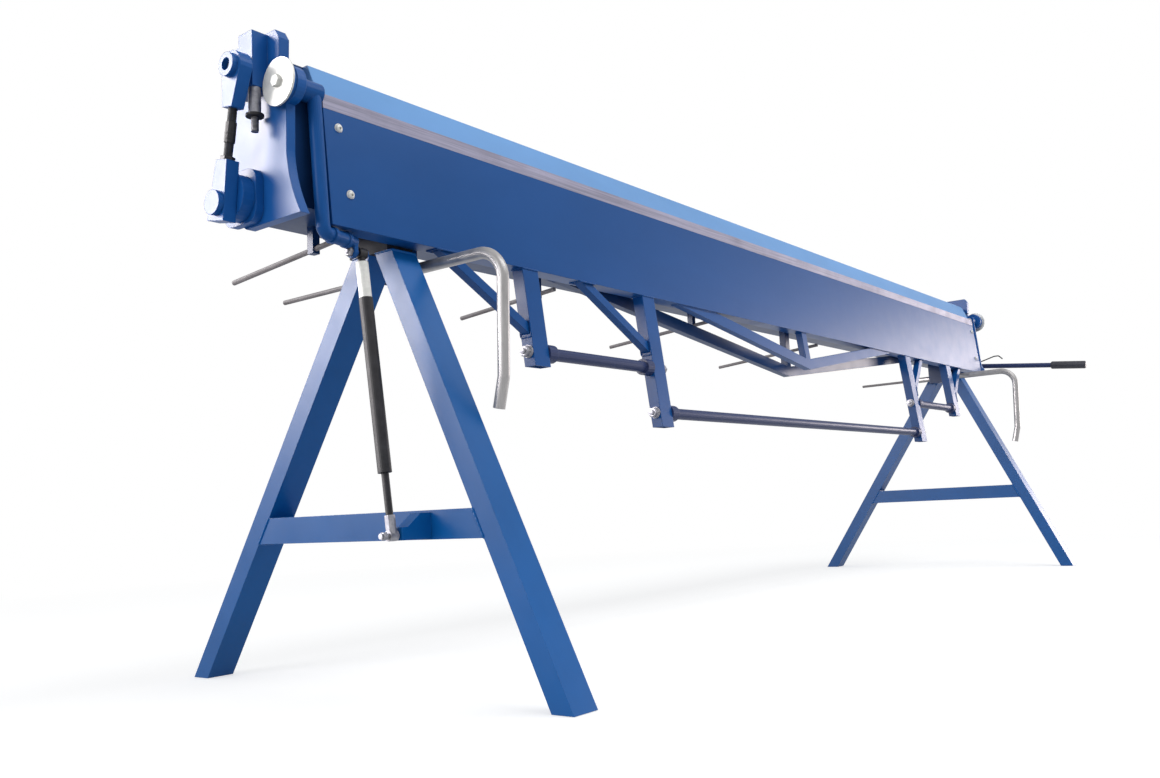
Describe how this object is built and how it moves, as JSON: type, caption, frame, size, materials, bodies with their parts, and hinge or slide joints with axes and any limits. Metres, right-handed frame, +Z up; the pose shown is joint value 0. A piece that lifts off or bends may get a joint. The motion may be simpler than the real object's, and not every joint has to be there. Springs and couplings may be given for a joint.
{
  "type": "sheet metal brake",
  "caption": "Long sheet metal folding brake on trestles: hinged bending leaf with grip bars, clamp beam with end links and a lever, gas strut and sliding rear rods.",
  "frame": {"origin": "Middle of the object's bounding box in plan, on the floor under the feet", "axes": "+X along the machine towards the lever end, -Y to the front where the operators stand, +Z up"},
  "size_m": [3.7674, 1.0534, 1.136],
  "materials": {
    "frame_paint": "semi-gloss blue paint",
    "leaf_paint": "semi-gloss blue paint",
    "leg_paint": "semi-gloss blue paint",
    "plate_paint": "semi-gloss blue paint",
    "nose_paint": "satin light blue",
    "grip_bar_paint": "satin blue grey",
    "blade_steel": "ground steel",
    "zinc_steel": "dull plated steel",
    "rod_steel": "dull drawn steel",
    "bright_steel": "bright plated steel",
    "tube_chrome": "bright plated tube",
    "dark_steel": "dark satin",
    "black_steel": "black satin",
    "grip_plastic": "black moulded plastic"
  },
  "bodies": {
    "stand": {"lower_beam": "frame_paint", "table_rail": "blade_steel", "beam_truss": "frame_paint", "strut_bracket": "leg_paint", "near_end_plate": "plate_paint", "far_end_plate": "plate_paint", "near_shaft_bearing": "plate_paint", "far_shaft_bearing": "plate_paint", "near_saddle": "dark_steel", "far_saddle": "dark_steel", "near_front_leg": "leg_paint", "near_back_leg": "leg_paint", "near_crossbar": "leg_paint", "far_front_leg": "leg_paint", "far_back_leg": "leg_paint", "far_crossbar": "leg_paint"},
    "leaf": {"leaf_box": "leaf_paint", "leaf_blade": "blade_steel", "leaf_truss": "leaf_paint", "centre_grip_bar": "grip_bar_paint", "near_leaf_arm": "leaf_paint", "far_leaf_arm": "leaf_paint", "near_hinge_pin": "bright_steel", "far_hinge_pin": "bright_steel", "near_grip_bar": "grip_bar_paint", "far_grip_bar": "grip_bar_paint", "near_outer_bracket": "leaf_paint", "far_outer_bracket": "leaf_paint", "near_inner_bracket": "leaf_paint", "far_inner_bracket": "leaf_paint"},
    "clamp": {"clamp_beam": "frame_paint", "clamp_blade": "nose_paint", "near_clamp_plate": "plate_paint", "far_clamp_plate": "plate_paint", "near_pivot_pin": "zinc_steel", "far_pivot_pin": "zinc_steel", "near_stop_screw": "zinc_steel", "far_stop_screw": "zinc_steel"},
    "clamp_shaft": {"torsion_shaft": "zinc_steel", "lever_bar": "grip_bar_paint", "lever_grip": "grip_plastic", "near_crank": "plate_paint", "far_crank": "plate_paint"},
    "near_link": {"near_link_upper_eye": "plate_paint", "near_link_lower_eye": "plate_paint"},
    "far_link": {"far_link_upper_eye": "plate_paint", "far_link_lower_eye": "plate_paint"},
    "near_sleeve": {"near_link_sleeve": "black_steel"},
    "far_sleeve": {"far_link_sleeve": "black_steel"},
    "strut_cylinder": {"strut_cylinder": "black_steel", "strut_shroud": "bright_steel"},
    "strut_rod": {"strut_rod": "black_steel", "strut_clevis": "zinc_steel"},
    "near_handle": {"near_handle": "tube_chrome"},
    "far_handle": {"far_handle": "tube_chrome"},
    "support_rod_1": {"support_rod_1": "rod_steel"},
    "support_rod_2": {"support_rod_2": "rod_steel"},
    "support_rod_3": {"support_rod_3": "rod_steel"},
    "support_rod_4": {"support_rod_4": "rod_steel"},
    "lever_hook": {"lever_hook": "black_steel"}
  },
  "joints": [
    {"name": "leaf_hinge", "type": "hinge", "parent": "stand", "child": "leaf", "pos_m": [-0.01415, -0.1133, 1.032], "axis": [-1, 0, 0], "range_deg": [0, 100]},
    {"name": "lever_turn", "type": "hinge", "parent": "stand", "child": "clamp_shaft", "pos_m": [-0.01415, -0.0063, 0.856], "axis": [-1, 0, 0], "range_deg": [0, 120]},
    {"name": "clamp_lift", "type": "slide", "parent": "stand", "child": "clamp", "axis": [0, 0, 1], "range_m": [0, 0.024]},
    {"name": "near_link_tilt", "type": "hinge", "parent": "clamp", "child": "near_link", "pos_m": [-1.86175, -0.0503, 1.064], "axis": [-1, 0, 0], "range_deg": [0, 3.5]},
    {"name": "far_link_tilt", "type": "hinge", "parent": "clamp", "child": "far_link", "pos_m": [1.83345, -0.0503, 1.064], "axis": [-1, 0, 0], "range_deg": [0, 3.5]},
    {"name": "near_sleeve_turn", "type": "hinge", "parent": "near_link", "child": "near_sleeve", "pos_m": [-1.86175, -0.0503, 1.064], "axis": [0, 0.1927, -0.9812], "range_deg": [-180, 180]},
    {"name": "far_sleeve_turn", "type": "hinge", "parent": "far_link", "child": "far_sleeve", "pos_m": [1.83345, -0.0503, 1.064], "axis": [0, 0.1927, -0.9812], "range_deg": [-180, 180]},
    {"name": "strut_pivot", "type": "hinge", "parent": "leaf", "child": "strut_cylinder", "pos_m": [-1.66615, -0.1195, 0.7673], "axis": [-1, 0, 0], "range_deg": [-121, 0]},
    {"name": "strut_slide", "type": "slide", "parent": "strut_cylinder", "child": "strut_rod", "axis": [0, -0.1207, -0.9927], "range_m": [0, 0.3373]},
    {"name": "near_handle_swing", "type": "hinge", "parent": "stand", "child": "near_handle", "pos_m": [-1.49915, 0.0217, 0.772], "axis": [0, 1, 0], "range_deg": [0, 35]},
    {"name": "far_handle_swing", "type": "hinge", "parent": "stand", "child": "far_handle", "pos_m": [1.47085, 0.0217, 0.772], "axis": [0, -1, 0], "range_deg": [0, 35]},
    {"name": "support_rod_1_slide", "type": "slide", "parent": "stand", "child": "support_rod_1", "axis": [0, 0.9969, -0.0788], "range_m": [0, 0.042]},
    {"name": "support_rod_2_slide", "type": "slide", "parent": "stand", "child": "support_rod_2", "axis": [0, 0.9969, -0.0788], "range_m": [0, 0.042]},
    {"name": "support_rod_3_slide", "type": "slide", "parent": "stand", "child": "support_rod_3", "axis": [0, 0.9969, -0.0788], "range_m": [0, 0.042]},
    {"name": "support_rod_4_slide", "type": "slide", "parent": "stand", "child": "support_rod_4", "axis": [0, 0.9969, -0.0788], "range_m": [0, 0.042]},
    {"name": "hook_swing", "type": "hinge", "parent": "stand", "child": "lever_hook", "pos_m": [1.78415, -0.0983, 0.852], "axis": [-1, 0, 0], "range_deg": [0, 40]}
  ],
  "couplings": [
    {"joint": "clamp_lift", "follows": "lever_turn", "m_per_rad": 0.011459},
    {"joint": "near_link_tilt", "follows": "lever_turn", "ratio": 0.028748},
    {"joint": "far_link_tilt", "follows": "lever_turn", "ratio": 0.028748},
    {"joint": "strut_pivot", "follows": "leaf_hinge", "ratio": -1.2052},
    {"joint": "strut_slide", "follows": "leaf_hinge", "m_per_rad": 0.1927}
  ]
}
